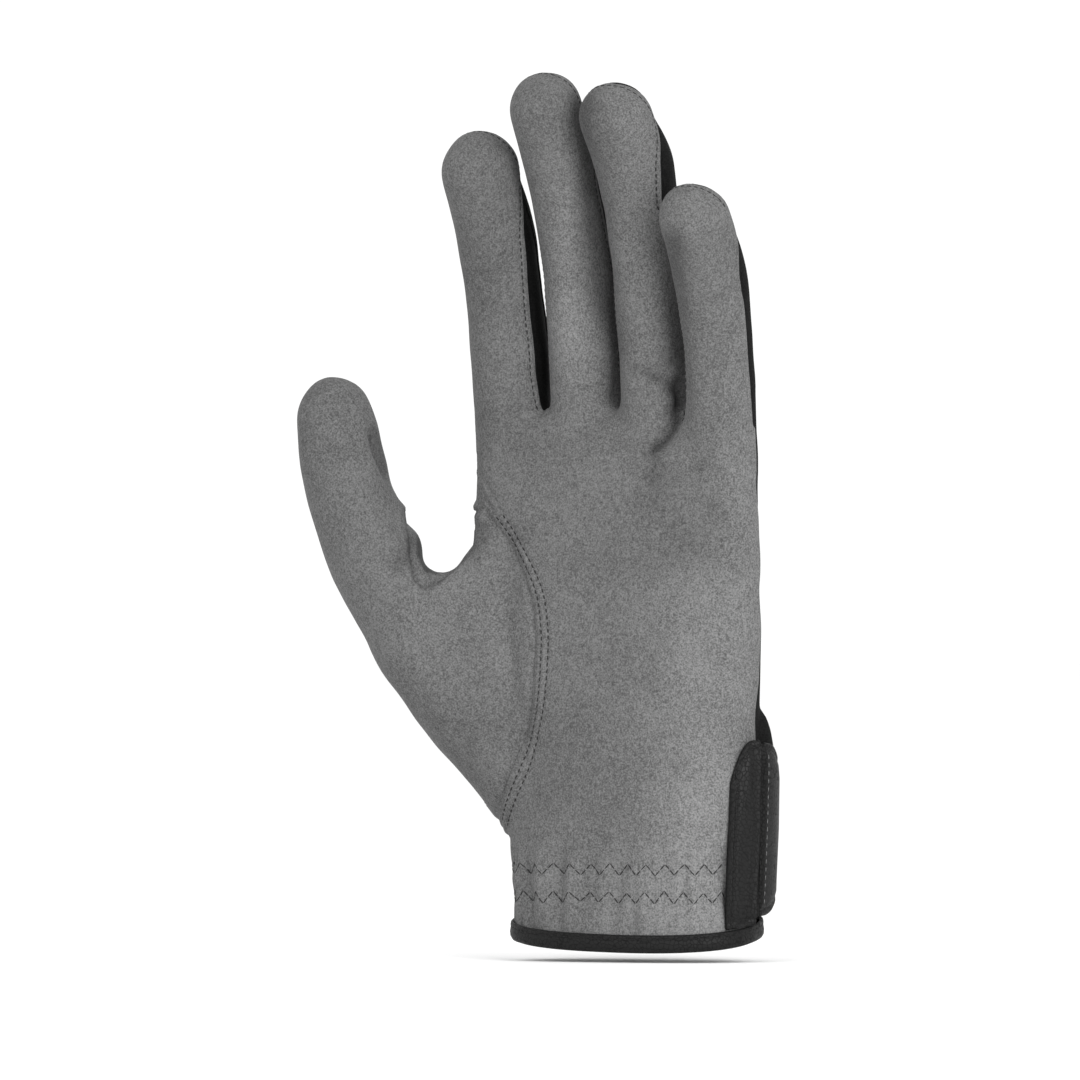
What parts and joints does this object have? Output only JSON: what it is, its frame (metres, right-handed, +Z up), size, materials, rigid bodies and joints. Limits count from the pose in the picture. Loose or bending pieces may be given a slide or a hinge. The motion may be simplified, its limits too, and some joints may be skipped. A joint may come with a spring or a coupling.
{
  "type": "golf glove",
  "caption": "Left-hand golf glove with a grey suede palm, black stretch back and finger sides, a bound cuff and a hook-and-loop closing strap at the wrist.",
  "frame": {"origin": "centre of the cuff's opening, half way round its edge", "axes": "+Z up the hand to the fingertips, -Y out of the palm, -X towards the thumb"},
  "size_m": [0.1233, 0.0587, 0.2192],
  "materials": {
    "suede": "matte, finely mottled suede",
    "stretch_back": "matte stretch knit",
    "binding_leather": "satin",
    "strap_leather": "satin, fine grain",
    "thread": "matte twisted thread",
    "elastic": "matte woven elastic",
    "strap_lining": "matte",
    "hook_tape": "matte",
    "loop_tape": "matte pile"
  },
  "bodies": {
    "hand_shell": {"palm_panel": "suede", "back_panel": "stretch_back", "thumb_panel": "suede", "web_gusset": "suede", "index_middle_gusset": "stretch_back", "middle_ring_gusset": "stretch_back", "ring_little_gusset": "stretch_back", "cuff_binding": "binding_leather", "slit_binding": "binding_leather", "wrist_elastic": "elastic", "zigzag_stitching": "thread", "thumb_seam_stitching": "thread", "strap_anchor": "strap_leather", "anchor_stitching": "thread", "hinge_welt": "strap_leather", "loop_patch": "loop_tape", "loop_stitching": "thread", "slit_bar_tack": "thread"},
    "index_stall": {"index_front": "suede", "index_back": "stretch_back", "index_gusset_inner": "stretch_back"},
    "middle_stall": {"middle_front": "suede", "middle_back": "stretch_back", "middle_gusset_outer": "stretch_back", "middle_gusset_inner": "stretch_back"},
    "ring_stall": {"ring_front": "suede", "ring_back": "stretch_back", "ring_gusset_outer": "stretch_back", "ring_gusset_inner": "stretch_back"},
    "little_stall": {"little_front": "suede", "little_back": "stretch_back", "little_gusset_outer": "stretch_back"},
    "thumb_stall": {"thumb_tip": "suede"},
    "strap": {"closure_strap": "strap_leather", "strap_lining": "strap_lining", "strap_stitching": "thread", "hook_patch": "hook_tape"}
  },
  "joints": [
    {"name": "index_bend", "type": "hinge", "parent": "hand_shell", "child": "index_stall", "pos_m": [-0.0338, -0.01542, 0.15171], "axis": [1, 0, 0], "range_deg": [0, 90]},
    {"name": "middle_bend", "type": "hinge", "parent": "hand_shell", "child": "middle_stall", "pos_m": [-0.01371, -0.01327, 0.15582], "axis": [1, 0, 0], "range_deg": [0, 90]},
    {"name": "ring_bend", "type": "hinge", "parent": "hand_shell", "child": "ring_stall", "pos_m": [0.0058, -0.01252, 0.15543], "axis": [1, 0, 0], "range_deg": [0, 90]},
    {"name": "little_bend", "type": "hinge", "parent": "hand_shell", "child": "little_stall", "pos_m": [0.02614, -0.01618, 0.14432], "axis": [1, 0, 0], "range_deg": [0, 90]},
    {"name": "thumb_bend", "type": "hinge", "parent": "hand_shell", "child": "thumb_stall", "pos_m": [-0.06324, -0.026, 0.1092], "axis": [0.727, 0.6115, 0.3123], "range_deg": [0, 60]},
    {"name": "strap_swing", "type": "hinge", "parent": "hand_shell", "child": "strap", "pos_m": [0.03749, -0.00348, 0.02625], "axis": [-0.0353, 0.0193, -0.9992], "range_deg": [0, 130]}
  ]
}
